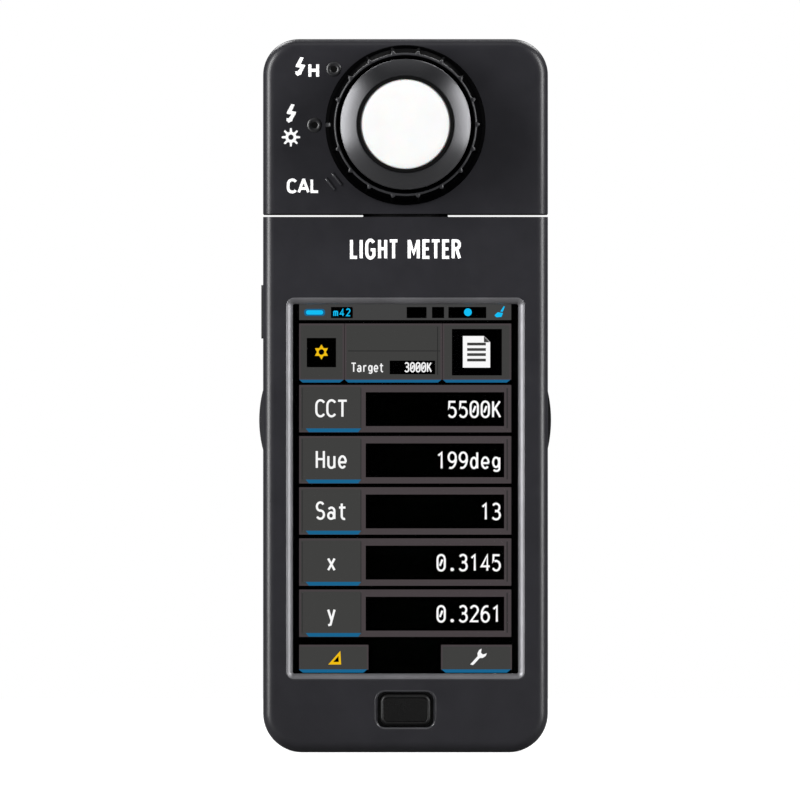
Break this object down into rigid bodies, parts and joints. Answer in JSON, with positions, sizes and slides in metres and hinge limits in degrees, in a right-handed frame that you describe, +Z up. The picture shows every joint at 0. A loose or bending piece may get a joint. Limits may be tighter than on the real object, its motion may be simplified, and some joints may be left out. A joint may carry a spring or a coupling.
{
  "type": "light meter",
  "caption": "Hand-held colour light meter: slim case with touch display and keys, swivelling head with a domed receptor and a three-position selector ring.",
  "frame": {"origin": "centre of the flat base, on the swivel axis of the head", "axes": "+Z up along the meter, +X across its width, to the right as seen from the display; the display faces -Y"},
  "size_m": [0.0748, 0.04, 0.1828],
  "materials": {
    "case_paint": "satin black paint over moulded plastic",
    "rear_paint": "fine textured black",
    "cover_glass": "clear with black border print",
    "display": "lit panel",
    "frame_steel": "rolled",
    "circuit_board": "solder mask",
    "chip": "moulded epoxy",
    "inner_plastic": "as moulded",
    "power_key": "gloss black",
    "side_key": "satin",
    "memory_key": "gloss black",
    "cover_rubber": "matt",
    "plated_metal": "nickel plated",
    "battery_wrap": "printed sleeve",
    "spring_steel": "nickel plated wire and strip",
    "brass": "turned",
    "screw_black": "black oxide",
    "plate": "anodised, blank",
    "acetal": "natural",
    "neck_black": "black anodised",
    "cable_jacket": "smooth",
    "barrel_black": "black anodised",
    "bezel_metal": "satin turned",
    "diffuser_white": "opal",
    "ring_black": "satin",
    "nd_glass": "grey filter",
    "mirror": "ruled grating"
  },
  "bodies": {
    "main": {"front_housing": "case_paint", "rear_housing": "rear_paint", "screen_glass": "cover_glass", "display_panel": "display", "display_frame": "frame_steel", "main_board": "circuit_board", "board_parts": "chip", "shield_can": "frame_steel", "buzzer": "inner_plastic", "power_switch": "inner_plastic", "measure_switch": "inner_plastic", "memory_switch": "inner_plastic", "usb_port": "plated_metal", "sync_terminal": "plated_metal", "door_pin": "plated_metal", "battery_tray": "inner_plastic", "battery_left": "battery_wrap", "battery_right": "battery_wrap", "battery_springs": "spring_steel", "battery_contacts": "spring_steel", "tripod_bush": "brass", "body_screws": "screw_black", "rating_plate": "plate", "neck_bushing": "acetal", "lower_plug": "acetal"},
    "head": {"head_front": "case_paint", "head_rear": "rear_paint", "neck_tube": "neck_black", "neck_nut": "brass", "neck_clip": "spring_steel", "receptor_barrel": "barrel_black", "receptor_bezel": "bezel_metal", "diffuser": "diffuser_white", "diffuser_rim": "barrel_black", "wheel_axle": "plated_metal", "detent_block": "inner_plastic", "detent_ball": "plated_metal", "detent_spring": "spring_steel", "optics_block": "inner_plastic", "slit_plate": "frame_steel", "grating": "mirror", "line_sensor": "chip", "sensor_board": "circuit_board", "upper_plug": "acetal", "head_screws": "screw_black", "signal_cable": "cable_jacket"},
    "selector": {"selector_ring": "ring_black", "filter_wheel": "inner_plastic", "nd_filter": "nd_glass"},
    "power_key": {"power_button": "power_key"},
    "measure_key": {"measure_button": "side_key"},
    "memory_key": {"memory_button": "memory_key"},
    "port_cover": {"connector_cover": "cover_rubber"},
    "door": {"battery_door": "rear_paint"},
    "latch": {"battery_latch": "inner_plastic"}
  },
  "joints": [
    {"name": "head_swivel", "type": "hinge", "parent": "main", "child": "head", "pos_m": [0, 0, 0.1376], "axis": [0, 0, 1], "range_deg": [-90, 180]},
    {"name": "selector_turn", "type": "hinge", "parent": "head", "child": "selector", "pos_m": [0, -0.0137, 0.1607], "axis": [0, 1, 0], "range_deg": [-38, 38]},
    {"name": "power_press", "type": "slide", "parent": "main", "child": "power_key", "axis": [0, 1, 0], "range_m": [0, 0.0005], "stiffness_N_per_m": 500, "springref_m": -0.0004},
    {"name": "measure_press", "type": "slide", "parent": "main", "child": "measure_key", "axis": [1, 0, 0], "range_m": [0, 0.0006], "stiffness_N_per_m": 500, "springref_m": -0.0004},
    {"name": "memory_press", "type": "slide", "parent": "main", "child": "memory_key", "axis": [-1, 0, 0], "range_m": [0, 0.0006], "stiffness_N_per_m": 500, "springref_m": -0.0004},
    {"name": "cover_open", "type": "hinge", "parent": "main", "child": "port_cover", "pos_m": [-0.037, -0.003, 0.1061], "axis": [0, -1, 0], "range_deg": [0, 90]},
    {"name": "door_open", "type": "hinge", "parent": "main", "child": "door", "pos_m": [0, 0.0121, 0.083], "axis": [1, 0, 0], "range_deg": [0, 95]},
    {"name": "latch_slide", "type": "slide", "parent": "door", "child": "latch", "axis": [0, 0, -1], "range_m": [0, 0.002]}
  ]
}
